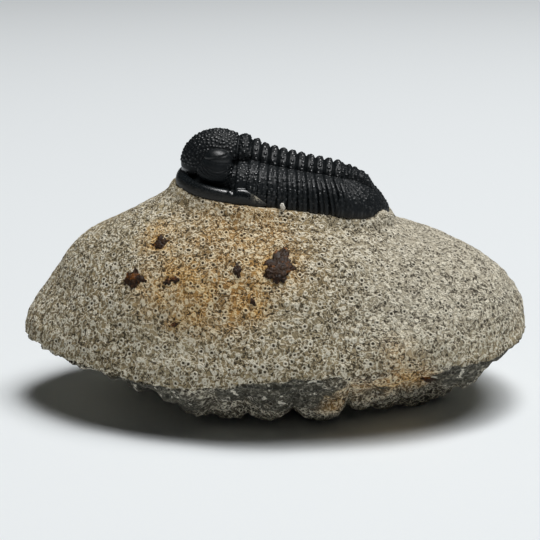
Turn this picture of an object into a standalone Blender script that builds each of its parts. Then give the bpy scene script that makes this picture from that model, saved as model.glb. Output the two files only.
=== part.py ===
"""A trilobite lying on the limestone nodule it was found in.

The stone is one solid. The fossil on it is the set of plates that the animal's
armour was made of: a head shield, ten thoracic plates and a tail shield.

World frame: +X runs from head to tail, -Y is the animal's left side, +Z is up,
and z = 0 is the flat the stone rests on. Units are metres.

Fossil frame: x runs from head to tail, y across, z up from the plane of the
armour's edge. Every plate is modelled in it and hangs on the fossil_frame empty.
"""
import math

import bmesh
import bpy
from mathutils import Matrix, Vector, noise

MM = 0.001
GAP = 0.3 * MM  # left between neighbouring solids

# the fossil's place on the stone
FOSSIL_ORIGIN = Vector((1.5 * MM, 0.0, 24.4 * MM))
FOSSIL_PITCH = math.radians(8.3)  # head higher than tail
FOSSIL_ROLL = math.radians(3.0)  # left side a little lower

# head shield
HEAD_FRONT_X = -12.2 * MM
HEAD_REAR_X = -4.5 * MM
HEAD_HALF_WIDTH = 7.0 * MM
HEAD_EDGE = 0.9 * MM
HEAD_CHEEK_RISE = 2.7 * MM
HEAD_BORDER_RISE = 0.4 * MM
HEAD_FURROW = 0.88  # share of the way out where the cheek meets the border
HEAD_BORDER = 0.94  # share of the way out where the border is highest
GLABELLA_CENTRE = Vector((-8.4 * MM, 0.0, 3.25 * MM))
GLABELLA_RADII = (3.4, 2.95, 2.95)  # in mm
EYE_CENTRE = Vector((-7.6 * MM, -4.0 * MM, 3.3 * MM))
EYE_RADII = (1.5, 1.15, 1.25)  # in mm
EYE_SOCKET_RISE = 1.35 * MM
EYE_SOCKET_LENGTH = 2.1 * MM
EYE_SOCKET_WIDTH = 1.5 * MM
SPINE_FOOT = Vector((-5.4 * MM, -7.2 * MM, 0.6 * MM))  # spine at the cheek's rear corner
SPINE_TIP = Vector((-1.7 * MM, -7.4 * MM, 0.4 * MM))
SPINE_FOOT_RADIUS = 0.45 * MM
SPINE_TIP_RADIUS = 0.1 * MM
OCCIPITAL_X = -5.2 * MM
OCCIPITAL_HALF_LENGTH = 0.9 * MM
OCCIPITAL_FOOT = 3.4 * MM
OCCIPITAL_TOP = 5.9 * MM

# thorax
SEGMENTS = 10
SEGMENT_PITCH = 1.046 * MM
FIRST_SEGMENT_X = -3.81 * MM
RING_TOP_FRONT = 5.6 * MM
RING_TOP_REAR = 4.45 * MM
AXIS_HALF_WIDTH_FRONT = 2.6 * MM
AXIS_HALF_WIDTH_REAR = 2.0 * MM
FLANK_TOP_FRONT = 3.75 * MM
FLANK_TOP_REAR = 3.5 * MM
THORAX_HALF_WIDTH_FRONT = 6.6 * MM
THORAX_HALF_WIDTH_REAR = 5.7 * MM
PLATE_EDGE = 0.35 * MM
PLATE_CROWN = 0.3  # share of a ring's rise lost at the ring's front and back edges

# tail shield
TAIL_FRONT_X = 6.28 * MM
TAIL_REAR_X = 12.2 * MM
TAIL_HALF_WIDTH = 5.6 * MM
TAIL_EDGE = 0.7 * MM
TAIL_TOP = 3.35 * MM
TAIL_AXIS_RISE = 0.9 * MM
TAIL_AXIS_END_X = 10.7 * MM
TAIL_AXIS_END_HALF_WIDTH = 0.9 * MM
TAIL_RING_PITCH = 0.78 * MM
TAIL_RING_DEPTH = 0.12  # share of the axis's rise

# stone: half-lengths of its widest outline, and the heights it passes through
STONE_CENTRE = Vector((0.45 * MM, 0.8 * MM, 0.0))
STONE_LEFT = 29.5 * MM
STONE_RIGHT = 29.3 * MM
STONE_FRONT = 18.2 * MM
STONE_BACK = 18.4 * MM
RIM_HEIGHT_LEFT = 8.5 * MM
RIM_HEIGHT_RIGHT = 9.4 * MM
RIM_HEIGHT_FRONT = 7.9 * MM
RIM_HEIGHT_BACK = 9.0 * MM
RIM_DIP = 1.9 * MM  # the rim hangs lower at the front left
RIM_DIP_ANGLE = math.radians(-136)
RIM_DIP_WIDTH = 0.55
BASE_CENTRE = Vector((4.0 * MM, 0.4 * MM, 0.0))
BASE_HALF_LENGTH = 14.5 * MM
BASE_HALF_DEPTH = 8.6 * MM
PEDESTAL_MARGIN = 0.3 * MM
PEDESTAL_SPINE_ROOM = 0.8 * MM  # extra width beside the cheek spines
SKIN_LUMP_SIZE = 7.0 * MM
SKIN_LUMP_HEIGHT = 0.7 * MM
BROKEN_LUMP_SIZE = 5.0 * MM
BROKEN_LUMP_HEIGHT = 1.6 * MM

SHELL_COLOUR = (0.011, 0.014, 0.016)
SHELL_ROUGHNESS = 0.38
STONE_COLOUR = (0.33, 0.28, 0.20)
STONE_ROUGHNESS = 0.9


def clear_scene():
    for old in list(bpy.data.objects):
        bpy.data.objects.remove(old, do_unlink=True)


def new_collection(name):
    made = bpy.data.collections.new(name)
    bpy.context.scene.collection.children.link(made)
    return made


def new_material(name, colour, roughness):
    made = bpy.data.materials.new(name)
    made.use_nodes = True
    shader = made.node_tree.nodes["Principled BSDF"]
    shader.inputs["Base Color"].default_value = (*colour, 1.0)
    shader.inputs["Roughness"].default_value = roughness
    shader.inputs["Metallic"].default_value = 0.0
    return made


def add_object(bm, name, collection, material=None, parent=None):
    bmesh.ops.recalc_face_normals(bm, faces=bm.faces)
    mesh = bpy.data.meshes.new(name)
    bm.to_mesh(mesh)
    bm.free()
    made = bpy.data.objects.new(name, mesh)
    collection.objects.link(made)
    if material:
        mesh.materials.append(material)
        mesh.shade_smooth()
        mesh.set_sharp_from_angle(angle=math.radians(50))
    made.parent = parent
    return made


def mix(start, end, share):
    return start + (end - start) * share


def smooth_step(low, high, value):
    share = min(max((value - low) / (high - low), 0.0), 1.0)
    return share * share * (3.0 - 2.0 * share)


def mirror_y(point, side):
    return Vector((point.x, point.y * side, point.z))


def bump(distance, width):
    return math.exp(-((distance / width) ** 2))


def half_round(offset, half_width):
    """Height of a half circle of radius 1 at offset, and 0 outside it."""
    return math.sqrt(max(1.0 - (offset / half_width) ** 2, 0.0))


# ---------------------------------------------------------------- plates


def plate(place, height, cells_along, cells_across):
    """A solid plate: a grid laid out by place(u, v), raised to height(x, y), flat below."""
    bm = bmesh.new()
    bmesh.ops.create_grid(bm, x_segments=cells_along, y_segments=cells_across, size=1.0)
    for vert in bm.verts:
        x, y = place(vert.co.x, vert.co.y)
        vert.co = (x, y, height(x, y))
    top = list(bm.faces)
    walls = bmesh.ops.extrude_face_region(bm, geom=top, use_keep_orig=True)
    under = [item for item in walls["geom"] if isinstance(item, bmesh.types.BMVert)]
    for vert in under:
        vert.co.z = 0.0
    flat_edges = [edge for edge in bm.edges if all(v.co.z == 0.0 for v in edge.verts)]
    flat_verts = [vert for vert in bm.verts if vert.co.z == 0.0]
    bmesh.ops.dissolve_limit(
        bm, angle_limit=math.radians(1), verts=flat_verts, edges=flat_edges
    )
    bmesh.ops.triangulate(bm, faces=bm.faces)
    return bm


def rounded_place(square_x, reach, half_width, forward):
    """Lays a grid out as half an ellipse: a straight side at square_x, round the other way."""

    def place(u, v):
        along = (u + 1.0) / 2.0
        across = math.sin(v * math.pi / 2.0)
        depth = math.cos(v * math.pi / 2.0)
        ease = 0.08 + 0.92 * depth
        return square_x + forward * reach * along * ease, half_width * across

    return place


def as_form(bm, name, collection, parent):
    """A form that is only joined to a plate, so it is hidden itself."""
    made = add_object(bm, name, collection, parent=parent)
    made.hide_render = True
    made.display_type = "WIRE"
    return made


def ball(name, centre, radii, collection, parent):
    bm = bmesh.new()
    bmesh.ops.create_uvsphere(bm, u_segments=24, v_segments=14, radius=MM)
    bmesh.ops.scale(bm, vec=radii, verts=bm.verts)
    bmesh.ops.translate(bm, vec=centre, verts=bm.verts)
    return as_form(bm, name, collection, parent)


def spine(name, foot, tip, collection, parent):
    bm = bmesh.new()
    along = tip - foot
    turn = along.to_track_quat("Z", "Y").to_matrix().to_4x4()
    bmesh.ops.create_cone(
        bm,
        cap_ends=True,
        segments=14,
        radius1=SPINE_FOOT_RADIUS,
        radius2=SPINE_TIP_RADIUS,
        depth=along.length,
        matrix=Matrix.Translation((foot + tip) / 2.0) @ turn,
    )
    return as_form(bm, name, collection, parent)


def join_with(target, extra):
    step = target.modifiers.new(extra.name, "BOOLEAN")
    step.operation = "UNION"
    step.solver = "EXACT"
    step.object = extra


def head_height(x, y):
    reach = HEAD_REAR_X - HEAD_FRONT_X
    out = math.hypot((x - HEAD_REAR_X) / reach, y / HEAD_HALF_WIDTH)
    cheek = max(1.0 - out / HEAD_FURROW, 0.0) ** 0.8
    height = HEAD_EDGE + HEAD_CHEEK_RISE * cheek
    height += HEAD_BORDER_RISE * bump(out - HEAD_BORDER, 0.045)
    from_eye = math.hypot(
        (x - EYE_CENTRE.x) / EYE_SOCKET_LENGTH, (abs(y) - abs(EYE_CENTRE.y)) / EYE_SOCKET_WIDTH
    )
    height += EYE_SOCKET_RISE * bump(from_eye, 1.0)
    ring = half_round(y, AXIS_HALF_WIDTH_FRONT) * half_round(x - OCCIPITAL_X, OCCIPITAL_HALF_LENGTH)
    if ring == 0.0:
        return height
    return max(height, mix(OCCIPITAL_FOOT, OCCIPITAL_TOP, ring))


def make_cephalon(collection, cutters, frame):
    place = rounded_place(
        HEAD_REAR_X, HEAD_REAR_X - HEAD_FRONT_X, HEAD_HALF_WIDTH, -1.0
    )
    head = add_object(
        plate(place, head_height, 18, 30),
        "cephalon",
        collection,
        new_material("cephalon_shell", SHELL_COLOUR, SHELL_ROUGHNESS),
        frame,
    )
    join_with(head, ball("glabella_form", GLABELLA_CENTRE, GLABELLA_RADII, cutters, frame))
    for side, label in ((1.0, "left"), (-1.0, "right")):
        eye = mirror_y(EYE_CENTRE, side)
        join_with(head, ball(f"{label}_eye_form", eye, EYE_RADII, cutters, frame))
        foot, tip = mirror_y(SPINE_FOOT, side), mirror_y(SPINE_TIP, side)
        join_with(head, spine(f"{label}_spine_form", foot, tip, cutters, frame))
    return head


def flank_height(y, axis_half_width, half_width, top):
    out = (abs(y) - axis_half_width) / (half_width - axis_half_width)
    out = min(max(out, 0.0), 1.0)
    return PLATE_EDGE + (top - PLATE_EDGE) * (1.0 - out**3.2) ** 0.8


def make_segment(index, collection, frame):
    share = index / (SEGMENTS - 1)
    centre_x = FIRST_SEGMENT_X + SEGMENT_PITCH * index
    half_length = (SEGMENT_PITCH - GAP) / 2.0
    axis = mix(AXIS_HALF_WIDTH_FRONT, AXIS_HALF_WIDTH_REAR, share)
    half_width = mix(THORAX_HALF_WIDTH_FRONT, THORAX_HALF_WIDTH_REAR, share)
    flank = mix(FLANK_TOP_FRONT, FLANK_TOP_REAR, share)
    ring_top = mix(RING_TOP_FRONT, RING_TOP_REAR, math.sqrt(share))

    def place(u, v):
        return centre_x + half_length * u, half_width * math.sin(v * math.pi / 2.0)

    def height(x, y):
        along = (x - centre_x) / half_length
        crown = 1.0 - PLATE_CROWN * along**2
        low = flank_height(y, axis, half_width, flank) - 0.15 * MM * along**2
        arch = half_round(y, axis)
        return low + (ring_top - flank) * arch * crown

    name = f"thoracic_segment_{index + 1:02d}"
    return add_object(
        plate(place, height, 4, 28),
        name,
        collection,
        new_material(f"{name}_shell", SHELL_COLOUR, SHELL_ROUGHNESS),
        frame,
    )


def tail_height(x, y):
    reach = TAIL_REAR_X - TAIL_FRONT_X
    along = (x - TAIL_FRONT_X) / reach
    out = min(math.hypot(along, y / TAIL_HALF_WIDTH), 1.0)
    fall = mix(2.6, 1.75, along**2)
    height = TAIL_EDGE + (TAIL_TOP - TAIL_EDGE) * (1.0 - out**fall) ** 0.9
    axis_reach = (x - TAIL_FRONT_X) / (TAIL_AXIS_END_X - TAIL_FRONT_X)
    if axis_reach < 1.0:
        axis = mix(AXIS_HALF_WIDTH_REAR, TAIL_AXIS_END_HALF_WIDTH, axis_reach)
        rise = TAIL_AXIS_RISE * half_round(axis_reach, 1.0) ** 0.6
        wave = math.cos(2.0 * math.pi * ((x - TAIL_FRONT_X) / TAIL_RING_PITCH - 0.4))
        height += rise * half_round(y, axis) * (1.0 + TAIL_RING_DEPTH * wave)
    return height


def make_pygidium(collection, frame):
    place = rounded_place(TAIL_FRONT_X, TAIL_REAR_X - TAIL_FRONT_X, TAIL_HALF_WIDTH, 1.0)
    return add_object(
        plate(place, tail_height, 22, 26),
        "pygidium",
        collection,
        new_material("pygidium_shell", SHELL_COLOUR, SHELL_ROUGHNESS),
        frame,
    )


# ---------------------------------------------------------------- stone


def oval(angle, left, right, front, back, power):
    """Distance from the middle to a squashed oval's edge in the direction of angle."""
    reach_x = right if math.cos(angle) > 0.0 else left
    reach_y = back if math.sin(angle) > 0.0 else front
    across = abs(math.cos(angle) / reach_x) ** power
    deep = abs(math.sin(angle) / reach_y) ** power
    return (across + deep) ** (-1.0 / power)


def rim_point(angle):
    """The widest outline of the stone, pointed at the left end and round at the right."""
    power = mix(1.75, 2.15, smooth_step(-0.6, 0.6, math.cos(angle)))
    reach = oval(angle, STONE_LEFT, STONE_RIGHT, STONE_FRONT, STONE_BACK, power)
    side = RIM_HEIGHT_RIGHT if math.cos(angle) > 0.0 else RIM_HEIGHT_LEFT
    deep = RIM_HEIGHT_BACK if math.sin(angle) > 0.0 else RIM_HEIGHT_FRONT
    height = mix(deep, side, math.cos(angle) ** 2)
    dip = RIM_DIP * bump(angle - RIM_DIP_ANGLE, RIM_DIP_WIDTH)
    return Vector((reach * math.cos(angle), reach * math.sin(angle), height - dip)) + STONE_CENTRE


def fossil_edge_width(x):
    """Half the fossil's width at x, for the pedestal that it lies on."""
    spine_room = PEDESTAL_SPINE_ROOM * bump(x - (SPINE_FOOT.x + SPINE_TIP.x) / 2.0, 2.4 * MM)
    if x < HEAD_REAR_X:
        reach = (x - HEAD_REAR_X) / (HEAD_REAR_X - HEAD_FRONT_X)
        return HEAD_HALF_WIDTH * half_round(reach, 1.0) + spine_room
    if x < TAIL_FRONT_X:
        share = (x - HEAD_REAR_X) / (TAIL_FRONT_X - HEAD_REAR_X)
        return mix(HEAD_HALF_WIDTH, TAIL_HALF_WIDTH, share) + spine_room
    reach = (x - TAIL_FRONT_X) / (TAIL_REAR_X - TAIL_FRONT_X)
    return TAIL_HALF_WIDTH * half_round(reach, 1.0)


def pedestal_reach(angle):
    """How far the pedestal's top goes in the direction of angle, in the fossil's frame."""
    low, high = 0.0, 14.0 * MM
    for _ in range(30):
        middle = (low + high) / 2.0
        x, y = middle * math.cos(angle), abs(middle * math.sin(angle))
        inside = HEAD_FRONT_X < x < TAIL_REAR_X and y < fossil_edge_width(x)
        low, high = (middle, high) if inside else (low, middle)
    return low + PEDESTAL_MARGIN


def pedestal_point(angle, share, frame_matrix):
    reach = pedestal_reach(angle) * share
    flat = Vector((reach * math.cos(angle), reach * math.sin(angle), -GAP))
    return frame_matrix @ flat


def slope_drop(share, angle):
    """Share of the way down at a share of the way out: a dome, with a full right shoulder."""
    step = 0.07 * (1.0 - math.exp(-share / 0.03))
    dome = step + 0.40 * share + 0.53 * share**3.2
    shoulder = 0.44 * share**0.5 + 0.56 * share**5.0
    return mix(dome, shoulder, smooth_step(0.2, 0.95, math.cos(angle - 0.35)))


def lumps(point, size, amount):
    return noise.noise(point / size, noise_basis="PERLIN_ORIGINAL") * amount


def stone_point(angle, depth, frame_matrix):
    """A point of the stone's skin; depth runs from 0 at the top to 1 under the middle."""
    cap_end, rim_at, base_at = 0.20, 0.62, 0.90
    if depth <= cap_end:
        return pedestal_point(angle, depth / cap_end, frame_matrix)
    edge = pedestal_point(angle, 1.0, frame_matrix)
    rim = rim_point(angle)
    base = Vector((BASE_HALF_LENGTH * math.cos(angle), BASE_HALF_DEPTH * math.sin(angle), 0.0))
    base += BASE_CENTRE
    if depth <= rim_at:
        share = (depth - cap_end) / (rim_at - cap_end)
        point = edge.lerp(rim, share)
        point.z = mix(edge.z, rim.z, slope_drop(share, angle))
        outward = Vector((math.cos(angle), math.sin(angle), 0.6)).normalized()
        fade = smooth_step(0.0, 0.3, share)
        return point + outward * lumps(point, SKIN_LUMP_SIZE, SKIN_LUMP_HEIGHT) * fade
    if depth < base_at:
        share = (depth - rim_at) / (base_at - rim_at)
        point = rim.lerp(base, share)
        undercut = mix(1.05, 2.1, math.sin(angle) ** 4)
        point.z = rim.z * (1.0 - share) ** undercut
        outward = Vector((math.cos(angle), math.sin(angle), -0.4)).normalized()
        fade = math.sin(share * math.pi) * smooth_step(0.0, 0.4, 1.0 - share)
        return point + outward * lumps(point, BROKEN_LUMP_SIZE, BROKEN_LUMP_HEIGHT) * fade
    share = (depth - base_at) / (1.0 - base_at)
    return base.lerp(BASE_CENTRE, share)


def make_stone(collection, frame_matrix):
    bm = bmesh.new()
    bmesh.ops.create_uvsphere(bm, u_segments=80, v_segments=40, radius=1.0)
    for vert in bm.verts:
        angle = math.atan2(vert.co.y, vert.co.x)
        depth = math.acos(max(-1.0, min(1.0, vert.co.z))) / math.pi
        vert.co = stone_point(angle, depth, frame_matrix)
    bmesh.ops.dissolve_limit(
        bm, angle_limit=math.radians(0.5), verts=bm.verts, edges=bm.edges
    )
    bmesh.ops.triangulate(bm, faces=bm.faces)
    material = new_material("matrix_stone", STONE_COLOUR, STONE_ROUGHNESS)
    return add_object(bm, "matrix_stone", collection, material)


# ---------------------------------------------------------------- whole


def make_fossil_frame(collection):
    frame = bpy.data.objects.new("fossil_frame", None)
    collection.objects.link(frame)
    turn = Matrix.Rotation(FOSSIL_PITCH, 4, "Y") @ Matrix.Rotation(FOSSIL_ROLL, 4, "X")
    frame.matrix_world = Matrix.Translation(FOSSIL_ORIGIN) @ turn
    bpy.context.view_layer.update()
    return frame


def stand_on_origin(stone, frame):
    """Moves stone and fossil so that the stone's box stands centred on the origin."""
    corners = [stone.matrix_world @ vert.co for vert in stone.data.vertices]
    middle = [
        (min(c[axis] for c in corners) + max(c[axis] for c in corners)) / 2.0
        for axis in (0, 1)
    ]
    shift = Vector((-middle[0], -middle[1], -min(c.z for c in corners)))
    stone.location += shift
    frame.location += shift


def main():
    clear_scene()
    parts = new_collection("trilobite_fossil")
    cutters = new_collection("joined_forms")
    frame = make_fossil_frame(parts)
    stone = make_stone(parts, frame.matrix_world.copy())
    make_cephalon(parts, cutters, frame)
    for index in range(SEGMENTS):
        make_segment(index, parts, frame)
    make_pygidium(parts, frame)
    stand_on_origin(stone, frame)


main()
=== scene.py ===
# %% [markdown]
# # A trilobite on the nodule it was found in
# The real object is two materials: a lens of pale limestone, and the black armour of a
# trilobite that a preparator freed from it with a fine jet of grit. The armour is not one
# piece. It is a head shield, ten plates that let the animal roll up, and a tail shield.
# This lesson keeps the plain solids of the frame for place and size, and makes a fine skin
# for each of them.

# %% Open the frame
import math
import random

import bmesh
import bpy
import numpy as np
from mathutils import Matrix, Vector, kdtree, noise


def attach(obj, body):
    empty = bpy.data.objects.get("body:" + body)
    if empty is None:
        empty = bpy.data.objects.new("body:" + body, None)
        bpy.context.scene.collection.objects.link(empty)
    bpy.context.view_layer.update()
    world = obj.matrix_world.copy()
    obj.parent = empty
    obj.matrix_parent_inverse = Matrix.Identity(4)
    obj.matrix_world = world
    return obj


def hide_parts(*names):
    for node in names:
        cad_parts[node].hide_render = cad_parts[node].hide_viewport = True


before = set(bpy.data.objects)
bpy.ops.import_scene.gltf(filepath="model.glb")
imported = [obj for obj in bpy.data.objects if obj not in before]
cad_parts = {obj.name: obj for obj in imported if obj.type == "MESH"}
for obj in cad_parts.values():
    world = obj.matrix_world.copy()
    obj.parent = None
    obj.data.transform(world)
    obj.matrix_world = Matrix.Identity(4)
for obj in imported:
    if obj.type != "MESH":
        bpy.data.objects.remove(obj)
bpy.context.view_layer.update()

MM = 0.001

# %% [markdown]
# ## Camera and studio
# A fossil this small is best seen through a long lens from a low place, because then its
# flanks are seen from the side and nothing near the lens looks swollen. The camera looks down
# by a few degrees at the middle of the object.

# %% Camera
LENS = 100.0
DISTANCE = 172.8 * MM
LOOK_DOWN = math.radians(15)
AIM = Vector((-0.45 * MM, -0.8 * MM, 15.2 * MM))

camera_data = bpy.data.cameras.new("camera")
camera_data.lens = LENS
camera_data.clip_start = 0.01
camera = bpy.data.objects.new("camera", camera_data)
bpy.context.scene.collection.objects.link(camera)
sight = Vector((0.0, math.cos(LOOK_DOWN), -math.sin(LOOK_DOWN)))
camera.location = AIM - sight * DISTANCE
camera.rotation_euler = sight.to_track_quat("-Z", "Y").to_euler()
bpy.context.scene.camera = camera
print("camera stands", round(DISTANCE / MM), "mm away")

# %% [markdown]
# ## Floor, lamps and backdrop
# The floor is a sheet of pale paper that reaches back as far as the camera sees. One broad
# lamp above gives the soft shadow below the stone, and a smaller one in its middle gives the
# thin glint along the head's rim. The backdrop gives almost no light of its own. It only looks
# bright to the camera, which is what the Light Path node is for, so a low view ends in pale
# grey and not in black.


# %% Colours and the floor
def srgb(red, green, blue):
    """A colour written the way paint charts do, 0 to 255, as the light values that shaders use."""
    scaled = [value / 255.0 for value in (red, green, blue)]
    linear = [v / 12.92 if v <= 0.04045 else ((v + 0.055) / 1.055) ** 2.4 for v in scaled]
    return (*linear, 1.0)


def new_object(name, mesh):
    made = bpy.data.objects.new(name, mesh)
    bpy.context.scene.collection.objects.link(made)
    return made


FLOOR_REACH = 0.9  # m


def make_floor():
    bm = bmesh.new()
    bmesh.ops.create_grid(bm, x_segments=1, y_segments=1, size=FLOOR_REACH)
    mesh = bpy.data.meshes.new("floor")
    bm.to_mesh(mesh)
    bm.free()
    floor = new_object("floor", mesh)
    material = bpy.data.materials.new("floor_paper")
    material.use_nodes = True
    shader = material.node_tree.nodes["Principled BSDF"]
    shader.inputs["Base Color"].default_value = srgb(236, 240, 242)
    shader.inputs["Roughness"].default_value = 0.9
    shader.inputs["Specular IOR Level"].default_value = 0.2
    mesh.materials.append(material)
    print("floor reaches", FLOOR_REACH, "m to each side")


make_floor()

# %% Lamps and backdrop
LAMPS = (  # name, place in m, width in m, power in W
    ("overhead", (0.26, -0.04, 1.12), 0.85, 11.6),
    ("overhead_core", (0.10, 0.02, 1.10), 0.34, 2.4),
)
BACKDROP_LIGHT = 0.03  # strength of the light that the backdrop gives
BACKDROP_LOOK = 0.75  # how bright it is to the camera


def add_lamp(name, place, size, power):
    data = bpy.data.lights.new(name, "AREA")
    data.shape = "DISK"
    data.size = size
    data.energy = power
    lamp = bpy.data.objects.new(name, data)
    bpy.context.scene.collection.objects.link(lamp)
    lamp.location = place
    lamp.rotation_euler = (AIM - Vector(place)).to_track_quat("-Z", "Y").to_euler()


def make_backdrop():
    world = bpy.data.worlds.new("studio")
    world.use_nodes = True
    tree = world.node_tree
    paper = tree.nodes["Background"]
    paper.inputs["Color"].default_value = srgb(232, 238, 242)
    path = tree.nodes.new("ShaderNodeLightPath")
    strength = tree.nodes.new("ShaderNodeMapRange")
    strength.inputs["To Min"].default_value = BACKDROP_LIGHT
    strength.inputs["To Max"].default_value = BACKDROP_LOOK
    tree.links.new(path.outputs["Is Camera Ray"], strength.inputs["Value"])
    tree.links.new(strength.outputs["Result"], paper.inputs["Strength"])
    bpy.context.scene.world = world


for lamp_numbers in LAMPS:
    add_lamp(*lamp_numbers)
make_backdrop()
bpy.context.scene.view_settings.view_transform = "Standard"
print("lamps:", [name for name, *_ in LAMPS])

# %% [markdown]
# ## The fossil's own frame
# The armour lies tilted on the stone, head high. It is easier to model it level, in
# millimetres, with x from head to tail, and to tilt it at the end. The tilt is read from
# the solids: each plate has a flat underside, so its middle and its direction say how the
# fossil lies.

# %% Read the tilt from the plates
SEGMENTS = 10
PITCH = 1.046  # mm from one thoracic plate to the next
FIRST_X = -3.81  # mm from the fossil's middle to the first plate


def underside(node):
    faces = [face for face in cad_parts[node].data.polygons if face.normal.z < -0.95]
    area = sum(face.area for face in faces)
    middle = sum((face.center * face.area for face in faces), Vector()) / area
    normal = sum((face.normal * face.area for face in faces), Vector()).normalized()
    return middle, -normal


first_middle, up = underside("thoracic_segment_01")
last_middle, _ = underside(f"thoracic_segment_{SEGMENTS:02d}")
along = (last_middle - first_middle).normalized()
across = up.cross(along).normalized()
origin = first_middle - along * FIRST_X * MM
turn = Matrix((along, across, along.cross(across))).transposed().to_4x4()
FOSSIL = Matrix.Translation(origin) @ turn @ Matrix.Scale(MM, 4)
print("head is", round(math.degrees(math.asin(-along.z)), 1), "degrees higher than the tail")
print("plates are", round((last_middle - first_middle).length / MM / (SEGMENTS - 1), 3), "mm apart")

# %% [markdown]
# ## Helpers for a skin
# Three small tools serve every piece. One turns a set of overlapping forms into a single
# closed skin by remeshing it in tiny cubes, the way clay forms are pressed together and
# smoothed. One pushes the points of a skin in or out along their normals. One raises
# tubercles, the small beads that cover this animal, around a list of centres.


# %% Small functions
def mix(start, end, share):
    return start + (end - start) * share


def smooth_step(low, high, value):
    share = np.clip((value - low) / (high - low), 0.0, 1.0)
    return share * share * (3.0 - 2.0 * share)


def bump(distance, width):
    return np.exp(-((distance / width) ** 2))


print("smooth_step climbs softly:", [round(float(smooth_step(0, 4, n)), 2) for n in range(5)])


# %% Press forms together
def press_together(bm, name, cell, smoothing):
    """One closed skin of square cells around all the forms in bm."""
    rough = bpy.data.meshes.new(name)
    bm.to_mesh(rough)
    bm.free()
    holder = new_object(name, rough)
    remesh = holder.modifiers.new("remesh", "REMESH")
    remesh.mode = "VOXEL"
    remesh.voxel_size = cell
    bpy.context.view_layer.update()
    graph = bpy.context.evaluated_depsgraph_get()
    skin = bpy.data.meshes.new_from_object(holder.evaluated_get(graph))
    bpy.data.objects.remove(holder)
    bm = bmesh.new()
    bm.from_mesh(skin)
    for _ in range(smoothing):
        bmesh.ops.smooth_vert(
            bm, verts=bm.verts, factor=0.5, use_axis_x=True, use_axis_y=True, use_axis_z=True
        )
    bm.to_mesh(skin)
    bm.free()
    return skin


print("forms that overlap become one skin")


# %% Push and bead
def read_points(mesh):
    points = np.empty(len(mesh.vertices) * 3, np.float32)
    normals = np.empty(len(mesh.vertices) * 3, np.float32)
    mesh.vertices.foreach_get("co", points)
    mesh.vertices.foreach_get("normal", normals)
    return points.reshape(-1, 3).astype(float), normals.reshape(-1, 3).astype(float)


def push(mesh, amounts):
    points, normals = read_points(mesh)
    points += normals * amounts[:, None]
    mesh.vertices.foreach_set("co", points.astype(np.float32).ravel())
    mesh.update()


def beads(points, centres, radii, heights):
    """How far each point is raised by the bead it lies under."""
    tree = kdtree.KDTree(len(centres))
    for index, centre in enumerate(centres):
        tree.insert(centre, index)
    tree.balance()
    raised = np.zeros(len(points))
    for index, point in enumerate(points):
        _, nearest, distance = tree.find(point)
        reach = distance / radii[nearest]
        if reach < 1.0:
            raised[index] = heights[nearest] * (1.0 - reach * reach) ** 0.7
    return raised


def scatter(points, allowed, spacing, seed):
    """Picks points at least spacing apart, for beads."""
    order = list(np.flatnonzero(allowed))
    random.Random(seed).shuffle(order)
    taken, chosen = {}, []
    for index in order:
        point = points[index]
        home = tuple(int(math.floor(c / spacing)) for c in point)
        near = (
            other
            for dx in (-1, 0, 1)
            for dy in (-1, 0, 1)
            for dz in (-1, 0, 1)
            for other in taken.get((home[0] + dx, home[1] + dy, home[2] + dz), ())
        )
        if all(np.sum((point - other) ** 2) >= spacing**2 for other in near):
            taken.setdefault(home, []).append(point)
            chosen.append(point)
    return chosen


def field(points, size, seed=0.0, octaves=3):
    """Cloudy noise from -1 to 1 at each point, with lumps about size across."""
    shift = Vector((seed * 7.3, seed * 3.1, seed * 5.7))
    return np.array([noise.fractal(Vector(p) / size + shift, 1.0, 2.0, octaves) for p in points])


print("cloudy noise:", [round(float(v), 2) for v in field(np.eye(3), 2.0)])


# %% Name and place
def name_attribute(mesh, name, values):
    layer = mesh.attributes.new(name, "FLOAT", "POINT")
    layer.data.foreach_set("value", np.clip(values, 0.0, 1.0).astype(np.float32))


def place_piece(mesh, name, matrix, node):
    """A finished piece: in its place in the frame, riding on the body, shown for its solid."""
    mesh.transform(matrix)
    mesh.name = name
    mesh.shade_smooth()
    piece = new_object(name, mesh)
    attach(piece, "root")
    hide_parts(node)
    mesh.calc_loop_triangles()
    print(f"{name}: {len(mesh.loop_triangles)} triangles")
    return piece


print("each piece will print its triangles")

# %% [markdown]
# ## Thoracic plates
# Each plate is an arch with three lobes: a ring over the back, and a flat rib to each side
# that bends down at its shoulder. The ring has a lower front lip that slides under the
# plate ahead, and each rib has a groove along it. A plate is a grid of squares whose points
# are laid along the arch, because then its grooves follow the arch and the squares stay even.

# %% Shape of an arch
AXIS_SHARE = 0.36  # share of the half arch that the ring takes
SHOULDER = 0.74  # lower is squarer
FOOT = -0.35  # mm; the edge sinks a little into the stone
BELOW = FOOT - 0.05  # mm; where the flat undersides lie
SWEEP = (0.15, 1.5)  # how far the rib's tip leans back, at the first and the last plate


def arch_sizes(share):
    """Half width of the ring and of the plate, and the tops of the ring and of the ribs."""
    early = math.sqrt(share)
    return mix(2.65, 2.3, share), mix(6.6, 5.75, share), mix(5.6, 4.45, early), mix(3.75, 3.15, early)


def arch_point(share, axis, half_width, ring_top, rib_top):
    """A point across the plate, share from -1 at the left edge to 1 at the right."""
    side = 1.0 if share >= 0.0 else -1.0
    reach = abs(share)
    if reach < AXIS_SHARE:
        angle = reach / AXIS_SHARE * math.pi / 2.0
        return side * axis * math.sin(angle), mix(rib_top, ring_top, math.cos(angle))
    angle = (reach - AXIS_SHARE) / (1.0 - AXIS_SHARE) * math.pi / 2.0
    out = math.sin(angle) ** SHOULDER
    down = max(math.cos(angle), 0.0) ** SHOULDER
    return side * mix(axis, half_width, out), mix(FOOT, rib_top, down)


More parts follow.
